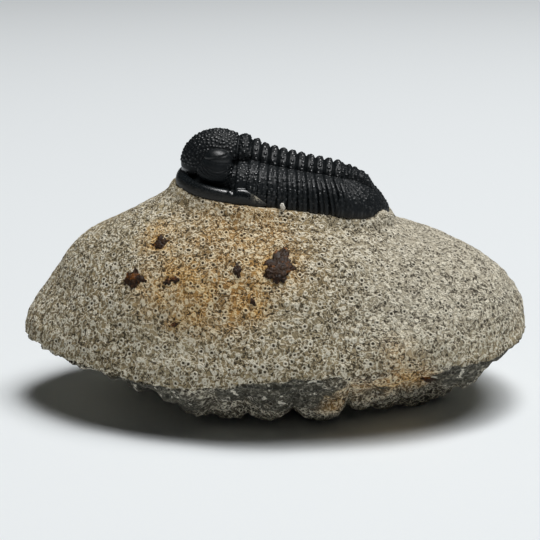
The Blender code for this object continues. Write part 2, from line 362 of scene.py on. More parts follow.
def arch_out(share, *sizes):
    """The direction that points away from the arch there."""
    step = 0.002
    y0, z0 = arch_point(share - step, *sizes)
    y1, z1 = arch_point(share + step, *sizes)
    length = math.hypot(y1 - y0, z1 - z0) or 1.0
    return -(z1 - z0) / length, (y1 - y0) / length


def plate_relief(front, way, share):
    """Height in mm of the carving; front runs from -1 at the plate's front to 1 at its back."""
    reach = abs(way)
    ring = -0.30 * (1.0 - smooth_step(-1.0, -0.45, front)) - 0.32 * smooth_step(0.55, 1.0, front)
    out = (reach - AXIS_SHARE) / (1.0 - AXIS_SHARE)
    joint = mix(0.12, 0.26, share) * smooth_step(0.68, 1.0, abs(front))
    groove = mix(0.05, 0.22, share) * bump(front + 0.05, 0.17) * smooth_step(0.1, 0.4, out)
    blend = smooth_step(AXIS_SHARE - 0.02, AXIS_SHARE + 0.03, reach)
    return float(mix(ring, -joint - groove, blend))


def close_below(bm):
    """Gives an arched sheet walls and a flat underside, so that it is a solid plate."""
    rim = [edge for edge in bm.edges if edge.is_boundary]
    made = bmesh.ops.extrude_edge_only(bm, edges=rim)["geom"]
    lower = [item for item in made if isinstance(item, bmesh.types.BMVert)]
    for vert in lower:
        vert.co.z = BELOW
    open_edges = [edge for edge in bm.edges if edge.is_boundary]
    bmesh.ops.holes_fill(bm, edges=open_edges, sides=0)
    bmesh.ops.recalc_face_normals(bm, faces=bm.faces)


print("first and last plate:", [round(2 * arch_sizes(end)[1], 1) for end in (0, 1)], "mm wide")


# %% [markdown]
# ### Make the ten plates
# The same arch serves ten times. Only its sizes change from head to tail, and the ribs lean
# back more. Beads come last, a row along the crest of each ring and smaller ones on the ribs.
# Bead tops are worn and shine, which the number called polish tells the material.


# %% Make the ten plates
def make_plate(index):
    share = index / (SEGMENTS - 1)
    sizes = arch_sizes(share)
    middle = FIRST_X + PITCH * index
    sweep = mix(*SWEEP, share**1.5)
    bm = bmesh.new()
    bmesh.ops.create_grid(bm, x_segments=20, y_segments=230, size=1.0)
    for vert in bm.verts:
        front, way = vert.co.x, vert.co.y
        y, z = arch_point(way, *sizes)
        out_y, out_z = arch_out(way, *sizes)
        height = plate_relief(front, way, share)
        tip = max(abs(way) - AXIS_SHARE, 0.0) / (1.0 - AXIS_SHARE)
        x = middle + front * PITCH * 0.53 + sweep * tip**1.5
        vert.co = (x, y + out_y * height, z + out_z * height)
    close_below(bm)
    mesh = bpy.data.meshes.new("plate")
    bm.to_mesh(mesh)
    bm.free()
    raised = bead_plate(mesh, index, share, sizes, middle)
    points, _ = read_points(mesh)
    name_attribute(mesh, "dust", 0.6 * smooth_step(0.25, -0.3, points[:, 2]))
    name_attribute(mesh, "polish", 0.25 + 0.6 * smooth_step(0.0, 0.1, raised))
    node = f"thoracic_segment_{index + 1:02d}"
    return place_piece(mesh, f"plate_{index + 1:02d}_skin", FOSSIL, node)


def bead_plate(mesh, index, share, sizes, middle):
    """A row of beads along the ring's crest, and finer ones on the ribs, flatter to the rear."""
    rng = random.Random(index)
    row = []
    for step in range(-5, 6):
        way = step * 0.068 + rng.uniform(-0.01, 0.01)
        y, z = arch_point(way, *sizes)
        row.append((middle + rng.uniform(-0.1, 0.2), y, z))
    points, _ = read_points(mesh)
    lower = mix(0.2, 0.9, share)
    on_ribs = (np.abs(points[:, 1]) > sizes[0] + 0.15) & (points[:, 2] > lower)
    ribs = scatter(points, on_ribs, mix(0.36, 0.5, share), index)
    radii = [0.2] * len(row) + [rng.uniform(0.13, 0.2) for _ in ribs]
    heights = [0.12] * len(row) + [rng.uniform(0.04, mix(0.12, 0.09, share)) for _ in ribs]
    raised = beads(points, row + ribs, radii, heights)
    push(mesh, raised + 0.022 * field(points, 0.5, index))
    return raised


shell_pieces = [make_plate(index) for index in range(SEGMENTS)]

# %% [markdown]
# ## Tail shield
# The tail's plates are grown together. What is left of them shows as rings on its middle
# lobe and as faint ribs that fan out to the sides and fade. Its sides bulge and its rear is
# a plain slope, so it is laid out like a fan: one side of a grid runs from the front's
# middle to the margin, the other side runs round the margin.

# %% Two tools and the tail's fan
TAIL_FRONT = 5.95
TAIL_REACH = 6.3
TAIL_HALF_WIDTH = 5.9
TAIL_TOP = 3.2
TAIL_AXIS = ((0.0, 4.9), (2.25, 1.1))  # mm behind its front, and half the axis's width there


def add_ball(bm, centre, radii):
    verts = bmesh.ops.create_uvsphere(bm, u_segments=64, v_segments=40, radius=1.0)["verts"]
    bmesh.ops.scale(bm, vec=radii, verts=verts)
    bmesh.ops.translate(bm, vec=centre, verts=verts)


def cut_flat(bm, point, direction):
    """Cuts away what lies beyond a plane, and closes the cut."""
    everything = bm.verts[:] + bm.edges[:] + bm.faces[:]
    cut = bmesh.ops.bisect_plane(
        bm, geom=everything, plane_co=point, plane_no=direction, clear_outer=True
    )
    edges = [item for item in cut["geom_cut"] if isinstance(item, bmesh.types.BMEdge)]
    bmesh.ops.holes_fill(bm, edges=edges, sides=0)


def tail_point(reach, angle):
    """Reach is 0 at the middle of the front and 1 at the margin; angle 0 looks to the rear."""
    power = mix(1.55, 2.6, abs(math.sin(angle)) ** 1.5)
    x = TAIL_FRONT + TAIL_REACH * reach * math.cos(angle)
    y = TAIL_HALF_WIDTH * reach * math.sin(angle)
    z = mix(FOOT, TAIL_TOP, max(1.0 - reach**power, 0.0) ** (1.0 / power))
    width = np.interp(x - TAIL_FRONT, *TAIL_AXIS)
    crown = math.sqrt(max(1.0 - (y / width) ** 2, 0.0))
    lobe = 0.97 * crown * smooth_step(4.9, 2.9, x - TAIL_FRONT)
    return x, y, z + float(lobe)


print("tail:", TAIL_REACH, "mm long,", 2 * TAIL_HALF_WIDTH, "mm wide")


# %% Carve the tail
def tail_relief(points):
    x, y, z = points.T
    into = x - TAIL_FRONT
    width = np.interp(into, *TAIL_AXIS)
    on_axis = smooth_step(1.0, 0.85, np.abs(y) / width) * smooth_step(4.6, 3.8, into)
    rings = np.cos(2.0 * math.pi * (into - 0.2) / 0.8) * smooth_step(4.6, 0.5, into)
    angle = np.degrees(np.arctan2(np.abs(y) - 1.0, into + 1.2))
    fade = smooth_step(15.0, 50.0, angle) * smooth_step(0.2, 0.8, z)
    ribs = np.cos(2.0 * math.pi * angle / 12.0) * fade * (1.0 - on_axis)
    furrow = bump(np.abs(y) - width, 0.18) * smooth_step(4.6, 3.6, into) * smooth_step(1.8, 2.4, z)
    return 0.12 * rings * on_axis + 0.07 * ribs - 0.15 * furrow


def make_tail():
    bm = bmesh.new()
    bmesh.ops.create_grid(bm, x_segments=150, y_segments=250, size=1.0)
    for vert in bm.verts:
        vert.co = tail_point((vert.co.x + 1.0) / 2.0, vert.co.y * math.pi / 2.0)
    bmesh.ops.remove_doubles(bm, verts=bm.verts, dist=0.0005)
    close_below(bm)
    mesh = bpy.data.meshes.new("tail")
    bm.to_mesh(mesh)
    bm.free()
    points, _ = read_points(mesh)
    push(mesh, np.where(points[:, 2] > FOOT + 0.1, tail_relief(points), 0.0))
    points, _ = read_points(mesh)
    centres = scatter(points, points[:, 2] > 0.1, 0.38, 21)
    rng = random.Random(22)
    radii = [rng.uniform(0.12, 0.19) for _ in centres]
    heights = [rng.uniform(0.03, 0.09) for _ in centres]
    raised = beads(points, centres, radii, heights)
    push(mesh, raised + 0.03 * field(points, 0.45, 30))
    points, _ = read_points(mesh)
    name_attribute(mesh, "dust", 0.6 * smooth_step(0.25, -0.3, points[:, 2]))
    name_attribute(mesh, "polish", 0.15 + 0.4 * smooth_step(0.0, 0.08, raised))
    return place_piece(mesh, "tail_shield_skin", FOSSIL, "pygidium")


shell_pieces.append(make_tail())

# %% [markdown]
# ## Head shield
# The head has the most to show. A swollen middle lobe, the glabella, hangs over the front
# rim. Behind it lies a ring like those of the back. A large eye stands on each cheek, smooth
# because its lenses are too fine to see, on a stepped foot. A thick rounded rim runs round
# the head, and ends in a short spine at each corner. The forms overlap, are pressed
# together, and the furrows are carved after that.

# %% Outline of the head
HEAD_REAR = -4.45
HEAD_REACH = 7.85
HEAD_HALF_WIDTH = 7.0
SQUARENESS = 2.35  # 2 would make the head's outline a plain ellipse
GLABELLA = ((-7.6, 0.0, 2.3), (4.4, 3.05, 3.9))
EYE = ((-7.85, -4.0, 3.72), (1.5, 1.15, 1.12))


def head_reach(points):
    """0 in the middle of the head's rear edge, 1 at its outline."""
    x = np.abs(points[:, 0] - HEAD_REAR) / HEAD_REACH
    y = np.abs(points[:, 1]) / HEAD_HALF_WIDTH
    return (x**SQUARENESS + y**SQUARENESS) ** (1.0 / SQUARENESS)


def square_up(bm):
    """Moves a form with an elliptical outline out to the head's squarer one."""
    for vert in bm.verts:
        x = abs(vert.co.x - HEAD_REAR) / HEAD_REACH
        y = abs(vert.co.y) / HEAD_HALF_WIDTH
        round_reach = math.hypot(x, y)
        if round_reach > 0.0:
            square = (x**SQUARENESS + y**SQUARENESS) ** (1.0 / SQUARENESS)
            vert.co.x = HEAD_REAR + (vert.co.x - HEAD_REAR) * round_reach / square
            vert.co.y *= round_reach / square


print("head:", HEAD_REACH, "mm long,", 2 * HEAD_HALF_WIDTH, "mm wide")


# %% [markdown]
# ### Forms that are swept
# The rim and the ring behind the glabella are an oval swept half a turn, like a sausage bent
# round the outline. The rear border is an arch like those of the plates.


# %% Rim, ring and rear border
def merge_in(bm, part):
    spare = bpy.data.meshes.new("spare")
    part.to_mesh(spare)
    part.free()
    bm.from_mesh(spare)
    bpy.data.meshes.remove(spare)


def half_turn(section, about):
    """Sweeps a ring of points half a turn round an axis through the middle, and caps it."""
    bm = bmesh.new()
    verts = bmesh.ops.create_circle(bm, cap_ends=False, segments=28, radius=1.0)["verts"]
    bm.transform(section)
    bmesh.ops.spin(
        bm, geom=verts + bm.edges[:], cent=(0, 0, 0), axis=about, angle=math.pi, steps=70
    )
    open_edges = [edge for edge in bm.edges if edge.is_boundary]
    bmesh.ops.holes_fill(bm, edges=open_edges, sides=0)
    bmesh.ops.recalc_face_normals(bm, faces=bm.faces)
    return bm


def make_rim():
    """The rounded rim: a tall oval swept round the head's outline."""
    upright = Matrix.Rotation(math.pi / 2.0, 4, "X") @ Matrix.Rotation(math.pi / 2.0, 4, "Y")
    section = Matrix.Translation((0, -0.9, 0.1)) @ Matrix.Diagonal((1, 0.1, 0.9, 1)) @ upright
    bm = half_turn(section, (0, 0, -1))
    bmesh.ops.scale(bm, vec=(HEAD_REACH, HEAD_HALF_WIDTH, 1.0), verts=bm.verts)
    bmesh.ops.translate(bm, vec=(HEAD_REAR, 0, 0), verts=bm.verts)
    square_up(bm)
    cut_flat(bm, (0, 0, BELOW), (0, 0, -1))
    return bm


def make_neck_ring():
    flat = Matrix.Translation((0, -1.0, 0)) @ Matrix.Diagonal((0.64, 0.14, 1, 1))
    bm = half_turn(flat, (-1, 0, 0))
    bmesh.ops.scale(bm, vec=(1.0, 2.65, 3.2), verts=bm.verts)
    bmesh.ops.translate(bm, vec=(-5.12, 0, 2.38), verts=bm.verts)
    return bm


def make_rear_band(front, back):
    """The head's rear border: an arch of the plates' own section."""
    bm = bmesh.new()
    bmesh.ops.create_grid(bm, x_segments=6, y_segments=120, size=1.0)
    for vert in bm.verts:
        y, z = arch_point(vert.co.y, 2.7, 6.4, 5.4, 3.55)
        vert.co = (mix(front, back, (vert.co.x + 1.0) / 2.0), y, z)
    close_below(bm)
    return bm


print("the rim reaches", HEAD_REACH, "mm forward and", HEAD_HALF_WIDTH, "mm to each side")


# %% All forms of the head
def head_forms():
    bm = bmesh.new()
    cheeks = bmesh.new()
    add_ball(cheeks, (HEAD_REAR, 0, -0.9), (6.85, 6.1, 4.4))
    square_up(cheeks)
    cut_flat(cheeks, (HEAD_REAR, 0, 0), (1, 0, 0))
    cut_flat(cheeks, (0, 0, BELOW), (0, 0, -1))
    glabella = bmesh.new()
    add_ball(glabella, *GLABELLA)
    cut_flat(glabella, (HEAD_REAR - 0.6, 0, 0), (1, 0, 0))
    cut_flat(glabella, (0, 0, 0.2), (0, 0, -1))
    spines = bmesh.new()
    for side in (-1.0, 1.0):
        (x, y, z), radii = EYE
        add_ball(bm, (x, -side * y, z), radii)
        add_ball(bm, (x + 0.1, -side * (y + 0.7), z - 0.2), (1.5, 1.2, 1.15))
        add_ball(bm, (x, -side * y, z - 0.75), (1.8, 1.35, 1.2))
        add_ball(bm, (x, -side * (y + 0.05), z - 1.45), (2.1, 1.5, 1.3))
        add_ball(bm, (-5.5, side * 3.8, 0.7), (1.25, 2.1, 2.4))
        add_ball(spines, (-4.3, side * 6.5, 0.1), (2.5, 0.62, 1.3))
    for vert in spines.verts:
        vert.co.z *= 1.0 - 0.6 * smooth_step(-4.6, -2.0, vert.co.x)
    cut_flat(spines, (0, 0, BELOW), (0, 0, -1))
    rear_band = make_rear_band(-5.75, -4.3)
    for part in (cheeks, make_rim(), glabella, make_neck_ring(), rear_band, spines):
        merge_in(bm, part)
    return bm


print("the glabella is", 2 * GLABELLA[1][1], "mm wide, an eye is", 2 * EYE[1][0], "mm long")


# %% [markdown]
# ### Carve the head
# Furrows set the lobes apart, and small steps run round the foot of each eye. Tubercles
# cover the head, but leave the eyes, the lower cheeks and the rim smooth. Powder from the
# preparator's jet lies where the spine meets the stone.


# %% Carve the head
HEAD_CELL = 0.074  # mm


def inside_ball(points, centre, radii):
    offset = (points - np.array(centre)) / np.array(radii)
    return np.sqrt((offset**2).sum(1))


def head_relief(points, normals):
    x, y, z = points.T
    out = head_reach(points)
    facing_up = smooth_step(-0.1, 0.3, normals[:, 2])
    border = 0.3 * bump(out - 0.79, 0.035) * smooth_step(2.6, 1.6, z) * facing_up
    border *= smooth_step(-4.9, -5.3, x)
    beside = np.abs(y)
    neck = 0.14 * bump(x + 5.86, 0.16) * smooth_step(3.1, 2.6, beside) * smooth_step(2.5, 3.5, z)
    axial = 0.3 * bump(beside - 2.85, 0.25) * smooth_step(-6.4, -5.8, x) * smooth_step(2.5, 3.2, z)
    rear = 0.25 * bump(x + 5.75, 0.22) * smooth_step(2.9, 3.3, beside) * smooth_step(0.5, 1.2, z)
    eye = np.array(EYE[0])
    from_eye = np.hypot((x - eye[0]) / 1.15, (z - eye[2]) * 1.15)
    outer = smooth_step(3.8, 4.6, beside) * smooth_step(-0.3, -0.8, z - eye[2])
    steps = 0.045 * np.cos(2.0 * math.pi * from_eye / 0.28) * outer
    steps *= smooth_step(1.1, 1.3, from_eye) * smooth_step(2.7, 2.3, from_eye)
    lid = z - eye[2] - 0.62 - 0.36 * (x - eye[0])
    over_eye = smooth_step(2.0, 1.5, np.abs(x - eye[0] - 0.2)) * smooth_step(2.9, 3.4, beside)
    lids = (0.02 * bump(lid, 0.1) - 0.03 * bump(lid + 0.24, 0.1)) * over_eye
    return steps + lids - border - neck - axial - rear


def make_head():
    mesh = press_together(head_forms(), "head_form", HEAD_CELL, 4)
    points, normals = read_points(mesh)
    push(mesh, head_relief(points, normals))
    points, normals = read_points(mesh)
    x, y, z = points.T
    beside = np.abs(y)
    left = np.stack((x, -beside, z), 1)
    on_eye = inside_ball(left, EYE[0], EYE[1]) < 1.15
    smooth_cheek = (beside > 3.0) & (x < -6.7) & (z < 3.5) | (z < 1.0)
    smooth_cheek |= (head_reach(points) > 0.78) & (z < 2.0)
    on_glabella = (inside_ball(points, *GLABELLA) < 1.06) & (x < -6.05) & (z > 1.2)
    rough = ~on_eye & ~smooth_cheek
    lobe = scatter(points, on_glabella & rough, 0.36, 5)
    ring = scatter(points, rough & (x > -5.7) & (beside < 2.7) & (z > 3.2), 0.42, 6)
    cheek = scatter(points, rough & (x > -6.7) & (beside > 2.8) & (z > 1.0), 0.38, 7)
    rng = random.Random(8)
    centres = lobe + ring + cheek
    radii = [rng.uniform(0.14, 0.2) for _ in centres]
    heights = [rng.uniform(0.06, 0.12) for _ in centres]
    raised = beads(points, centres, radii, heights) + 0.02 * field(points, 0.45, 50)
    raised = np.where(on_eye | smooth_cheek, 0.0, raised)
    push(mesh, raised)
    points, _ = read_points(mesh)
    outer_face = smooth_step(0.93, 0.97, head_reach(points)) * smooth_step(0.75, 0.3, points[:, 2])
    folded = np.stack((points[:, 0], -np.abs(points[:, 1]), points[:, 2]), 1)
    powder = bump(np.sqrt(((folded - np.array((-3.0, -6.5, 0.7))) ** 2).sum(1)), 0.5)
    name_attribute(mesh, "dust", 0.35 * outer_face)
    name_attribute(mesh, "powder", powder)
    on_rim = smooth_step(0.82, 0.86, head_reach(points)) * smooth_step(1.6, 1.3, points[:, 2])
    shine = 0.15 + 0.75 * smooth_step(0.03, 0.1, raised) + 0.3 * on_eye
    name_attribute(mesh, "polish", np.maximum(shine, on_rim * (0.9 - 0.6 * outer_face)))
    print("beads on the head:", len(centres))
    return place_piece(mesh, "head_shield_skin", FOSSIL, "cephalon")


shell_pieces.append(make_head())

# %% [markdown]
# ## The stone
# The nodule was ground by hand and then frosted with grit, so its top is smooth in the
# large and pitted in the small. Its underside is the broken rind, coarse and dark. The
# frame's solid gives the large shape. Its copy is remeshed finely, lumps and pits are pushed
# into it, and the broken part gets a carving of its own.

# %% Remesh the solid
STONE_CELL = 0.27  # mm


def stone_copy():
    """The solid's own mesh in millimetres, with its loose triangles merged."""
    bm = bmesh.new()
    bm.from_mesh(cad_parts["matrix_stone"].data)
    bmesh.ops.scale(bm, vec=(1 / MM, 1 / MM, 1 / MM), verts=bm.verts)
    bmesh.ops.remove_doubles(bm, verts=bm.verts, dist=0.001)
    return bm


stone_mesh = press_together(stone_copy(), "stone_form", STONE_CELL, 2)
print("stone cells:", len(stone_mesh.polygons))

# %% [markdown]
# ### Lumps, pits and the broken rind
# How far the surface looks down decides what was ground and what is broken. The lower front
# edge has bites, which leave rounded lobes, and it hangs lower in two places. Some faces are
# marked with a number that darkens them: they are partly fresh breaks, darker of their own,
# and partly painted shade on faces that look down under the ledge.

# %% Lumps, pits and the broken rind
NOTCHES = (  # x in mm, depth in mm, of the bites along the lower front edge
    (-16.8, 0.6), (-13.6, 0.7), (-10.6, 0.8), (-6.8, 0.7), (-2.9, 1.3), (2.1, 1.4), (8.2, 1.6),
    (10.9, 1.0), (14.2, 1.1), (17.5, 1.0), (20.5, 0.9),
)
SAG = (-9.0, 3.6, 1.4)  # x, reach and depth in mm of the place where the rind hangs lower
RIGHT_SAG = (23.5, 6.0, 1.4)  # the same, at the right-hand end
LIPS = (  # place in the fossil's frame, reach and height, in mm
    ((11.2, -3.4, -0.2), 1.3, 0.75),
    ((-11.6, -4.4, -0.4), 1.2, 0.3),
)
BREAKS_AND_SHADE = (  # x, y, z, reach in x, y, z, in mm, of fresh breaks, darkened partly for their own colour and partly as painted shade
    (0.4, -17.5, 5.6, 7.8, 5.0, 3.4),
    (21.5, -11.0, 6.0, 4.6, 5.0, 3.2),
    (26.5, -5.0, 8.0, 3.2, 6.0, 4.2),
    (11.4, -15.0, 4.2, 2.6, 3.0, 1.6),
    (17.5, -12.5, 2.6, 4.0, 4.0, 1.8),
    (-14.0, -13.0, 4.2, 8.0, 5.0, 3.0),
)


def pits(points, size):
    """0 between pits and 1 in the middle of one; pits lie about size apart."""
    nearest = [noise.voronoi(Vector(point) / size)[0][0] for point in points]
    return smooth_step(0.42, 0.08, np.array(nearest))


def broken_part(points, normals):
    """1 on the broken underside, 0 on the frosted top, with a ragged edge between."""
    ragged = 0.35 * field(points, 2.2, 3)
    return smooth_step(-0.10, -0.30, normals[:, 2] + ragged)


def bite_edge(points):
    """Notches the lower front edge and lets it hang in two places; blunts the right-hand end."""
    x, y, z = points.T
    depth = sum(size * np.exp(-np.abs(x - middle) / 1.2) for middle, size in NOTCHES)
    front = smooth_step(-4.0, -7.5, y)
    notch = depth * front * smooth_step(7.5, 3.5, z)
    sag = SAG[2] * bump(x - SAG[0], SAG[1]) * smooth_step(-7.0, -10.0, y) * smooth_step(8.0, 5.0, z)
    right_end = RIGHT_SAG[2] * bump(x - RIGHT_SAG[0], RIGHT_SAG[1]) * smooth_step(13.0, 8.5, z)
    points[:, 0] += 0.5 * bump(z - 14.0, 3.0) * smooth_step(20.0, 26.0, x)
    points[:, 1] += 0.35 * notch
    points[:, 2] = np.maximum(z - sag - right_end, 0.0) + notch
    return points


# Painted shade and fresh breaks: 1 inside the listed balls, where the faces are darkened.
def shade_and_break_mask(points):
    shade = np.zeros(len(points))
    for x, y, z, reach_x, reach_y, reach_z in BREAKS_AND_SHADE:
        away = (points - np.array((x, y, z))) / np.array((reach_x, reach_y, reach_z))
        shade = np.maximum(shade, smooth_step(1.15, 0.8, np.sqrt((away**2).sum(1))))
    return shade


def lips(points):
    """Where the stone was left standing a little higher against the shell."""
    raised = np.zeros(len(points))
    for place, reach, height in LIPS:
        middle = np.array(FOSSIL @ Vector(place)) / MM
        raised += height * bump(np.sqrt(((points - middle) ** 2).sum(1)), reach)
    return raised


# %% Carve the stone
points, normals = read_points(stone_mesh)
broken = broken_part(points, normals)
standing = smooth_step(0.15, 0.8, points[:, 2])
pitted = pits(points, 0.9)
frosted = 0.10 * field(points, 2.4, 1) + 0.07 * field(points, 0.7, 2) - 0.14 * pitted
ledge = bump(normals[:, 2] + 0.15, 0.22) * smooth_step(14.0, 9.0, points[:, 2])
chips = -0.45 * ledge * smooth_step(0.0, 0.5, field(points, 1.4, 6))
rind = 0.5 * field(points, 2.6, 11, 4) + 0.25 * field(points, 0.9, 12) - 0.25
push(stone_mesh, (mix(frosted, rind, broken) + chips + lips(points)) * standing)
points, _ = read_points(stone_mesh)
points = bite_edge(np.maximum(points, (-100.0, -100.0, 0.0)))
stone_mesh.vertices.foreach_set("co", points.astype(np.float32).ravel())
name_attribute(stone_mesh, "broken", broken)
name_attribute(stone_mesh, "pit", pitted)
# Painted light: the stone is made paler towards its right-hand end and towards its top.
painted_light_right_top = smooth_step(2.0, 16.0, points[:, 0]) * smooth_step(6.0, 15.0, points[:, 2])
name_attribute(stone_mesh, "painted_light_right_top", 0.8 * painted_light_right_top)
# Painted shade and fresh breaks: darkens the faces in the listed balls that are broken or on the ledge.
dark_break_and_shade = shade_and_break_mask(points + 0.8 * field(points, 1.5, 8)[:, None])
name_attribute(stone_mesh, "dark_break_and_shade", dark_break_and_shade * smooth_step(0.2, 0.7, broken + 0.3 * ledge))
print("share of the stone that is broken:", round(float(broken.mean()), 2))


# %% [markdown]
# ## Rust in the stone
# Iron in the limestone has rusted. It stains a wide band of the front ochre, with darker
# patches round the grains. The stain is a number on each point, worked out from a few balls
# of influence, and the material turns it into colour. The grains are small, dark and hard,
# so the grit left them standing.

# %% Stains
STAINS = (  # x, y, z, reach, strength; in mm
    (-12.9, -8.2, 21.0, 2.0, 0.7),
    (-12.4, -9.3, 20.3, 1.2, 0.6),
    (-10.5, -12.5, 17.5, 3.6, 0.55),
    (-13.4, -12.4, 15.8, 2.8, 0.35),
    (-7.9, -14.4, 15.6, 3.4, 0.7),
    (-4.4, -14.8, 15.4, 3.0, 0.6),
    (-2.0, -15.1, 15.0, 1.6, 0.95),
    (-1.2, -13.0, 18.4, 2.6, 0.35),
    (0.6, -13.2, 18.9, 2.4, 0.45),
    (-5.0, -9.0, 22.0, 6.0, 0.42),
    (-1.0, -12.0, 20.0, 6.0, 0.25),
    (-10.9, -14.4, 12.9, 0.9, 0.6),
    (13.6, -13.8, 7.0, 2.6, 0.8),
    (15.6, -12.4, 5.2, 2.6, 0.85),
    (10.0, -15.4, 5.0, 2.6, 0.65),
    (13.0, -14.8, 9.6, 2.0, 0.45),
    (6.5, -16.0, 4.0, 2.0, 0.5),
    (9.0, 13.0, 15.0, 6.0, 0.45),
    (-12.0, 11.0, 14.0, 5.0, 0.35),
)


def stain(points):
    clear = np.ones(len(points))
    for x, y, z, reach, strength in STAINS:
        distance = np.sqrt(((points - np.array((x, y, z))) ** 2).sum(1))
        clear *= 1.0 - strength * bump(distance, reach)
    return 1.0 - clear


name_attribute(stone_mesh, "rust", stain(points) * (1.0 + 0.35 * field(points, 2.0, 9)))
stone = place_piece(stone_mesh, "nodule_skin", Matrix.Scale(MM, 4), "matrix_stone")

# %% [markdown]
# ### Grains and a splinter
# Each grain starts as a ball, is drawn in to a diamond, roughened, flattened, and laid on the
# stone at the surface's own slope. The splinter is pale stone left at the shell's edge.

# %% Grains and a splinter
CHIP = (-0.1, -6.7, 0.15)  # mm, in the fossil's own frame
GRAINS = (  # x, y, z, width, height, turn in degrees
    (0.6, -13.2, 18.9, 3.2, 4.0, -12),
    (0.1, -13.5, 18.4, 2.3, 2.0, 20),
    (-15.3, -11.0, 16.9, 2.2, 2.5, 10),
    (-14.6, -11.3, 16.9, 1.6, 0.9, 0),
    (-11.4, -12.8, 17.0, 1.2, 0.9, 30),
    (-10.6, -12.9, 17.4, 1.1, 0.8, 0),
    (-12.4, -9.1, 20.6, 1.9, 1.8, 20),
    (-3.9, -13.4, 18.6, 1.0, 1.7, 10),
    (-2.4, -15.0, 15.4, 0.6, 0.9, 30),
    (-10.7, -14.4, 12.9, 1.1, 0.5, 15),
    (17.0, -11.4, 5.2, 1.9, 1.7, 0),
    (8.0, 14.5, 14.0, 2.2, 1.8, 40),
    (-11.0, 12.5, 13.0, 1.4, 1.2, 0),
)


def surface_near(points, normals, place):
    distance = ((points - np.array(place)) ** 2).sum(1)
    near = np.argsort(distance)[:60]
    direction = Vector(normals[near].mean(0)).normalized()
    return Vector(points[near[0]]), direction


def make_grain(index, x, y, z, width, height, turn_degrees, points, normals):
    place, out = surface_near(points, normals, (x, y, z))
    bm = bmesh.new()
    bmesh.ops.create_icosphere(bm, subdivisions=5, radius=0.5)
    for vert in bm.verts:
        level = max(math.hypot(vert.co.x, vert.co.y), 1e-6)
        star = (abs(vert.co.x) + abs(vert.co.y)) / level
        vert.co.x /= max(star, 1.0)
        vert.co.y /= max(star, 1.0)
        rough = noise.fractal(vert.co * 4.0 + Vector((index * 5.0, 0, 0)), 0.7, 2.0, 5)
        vert.co += vert.co.normalized() * 0.2 * rough
    bmesh.ops.scale(bm, vec=(width, height, 0.42), verts=bm.verts)
    spin_in_plane = Matrix.Rotation(math.radians(turn_degrees), 4, "Z")
    stand = out.to_track_quat("Z", "Y").to_matrix().to_4x4()
    bm.transform(Matrix.Translation(place - out * 0.06) @ stand @ spin_in_plane)
    mesh = bpy.data.meshes.new("grain")
    bm.to_mesh(mesh)
    bm.free()
    name = f"rusty_grain_{index + 1:02d}"
    return place_piece(mesh, name, Matrix.Scale(MM, 4), "matrix_stone")


def make_chip():
    """A pale splinter of stone, left at the edge of the shell."""
    bm = bmesh.new()
    bmesh.ops.create_icosphere(bm, subdivisions=4, radius=0.5)
    for vert in bm.verts:
        vert.co *= 1.0 + 0.35 * noise.fractal(vert.co * 3.0, 0.8, 2.0, 4)
    bmesh.ops.scale(bm, vec=(0.5, 0.3, 0.75), verts=bm.verts)
    lean = Matrix.Rotation(math.radians(-25), 4, "Y")
    bm.transform(Matrix.Translation(CHIP) @ lean)
    mesh = bpy.data.meshes.new("chip")
    bm.to_mesh(mesh)
    bm.free()
    return place_piece(mesh, "pale_splinter", FOSSIL, "matrix_stone")


chip = make_chip()
points, normals = read_points(stone_mesh)
points = points / MM
grain_pieces = [
    make_grain(index, *numbers, points, normals) for index, numbers in enumerate(GRAINS)
]

# %% [markdown]
# ## A shared fine grain
# Shell, stone and rusty grains all have a fine mottling, at different sizes. One node
# group makes it from Object coordinates, in millimetres, and each material places it with
# its own size. It gives a mask for colour and the same mask as a height for the bump.


# %% Node helpers
class Nodes:
    """Short ways to add and join shader nodes in one tree."""

    def __init__(self, tree):
        self.tree = tree

    def add(self, kind, **settings):
        node = self.tree.nodes.new(kind)
        for key, value in settings.items():
            setattr(node, key, value)
        return node

    def feed(self, socket, value):
        if isinstance(value, bpy.types.NodeSocket):
            self.tree.links.new(value, socket)
        else:
            socket.default_value = value

    def mm_coordinates(self):
        place = self.add("ShaderNodeTexCoord")
        scale = self.add("ShaderNodeMapping")
        scale.inputs["Scale"].default_value = (1 / MM, 1 / MM, 1 / MM)
        self.feed(scale.inputs["Vector"], place.outputs["Object"])
        return scale.outputs["Vector"]

    def noise(self, vector, scale, detail=4.0, roughness=0.6):
        node = self.add("ShaderNodeTexNoise")
        self.feed(node.inputs["Vector"], vector)
        self.feed(node.inputs["Scale"], scale)
        node.inputs["Detail"].default_value = detail
        node.inputs["Roughness"].default_value = roughness
        return node.outputs["Fac"]

    def cells(self, vector, scale):
        node = self.add("ShaderNodeTexVoronoi")
        self.feed(node.inputs["Vector"], vector)
        self.feed(node.inputs["Scale"], scale)
        return node

    def span(self, value, low, high, to_low=0.0, to_high=1.0):
        node = self.add("ShaderNodeMapRange", clamp=True)
        self.feed(node.inputs["Value"], value)
        numbers = {"From Min": low, "From Max": high, "To Min": to_low, "To Max": to_high}
        for name, number in numbers.items():
            node.inputs[name].default_value = number
        return node.outputs["Result"]

    def math(self, operation, first, second=0.0):
        node = self.add("ShaderNodeMath", operation=operation)
        self.feed(node.inputs[0], first)
        self.feed(node.inputs[1], second)
        return node.outputs["Value"]

    def blend(self, share, first, second):
        node = self.add("ShaderNodeMix", data_type="RGBA")
        self.feed(node.inputs[0], share)
        self.feed(node.inputs[6], first)
        self.feed(node.inputs[7], second)
        return node.outputs[2]

    def attribute(self, name):
        return self.add("ShaderNodeAttribute", attribute_name=name).outputs["Fac"]

    def bump(self, height, distance, strength):
        node = self.add("ShaderNodeBump")
        self.feed(node.inputs["Height"], height)
        node.inputs["Distance"].default_value = distance
        node.inputs["Strength"].default_value = strength
        return node.outputs["Normal"]


print("node helpers:", [name for name in vars(Nodes) if name[0] != "_"])


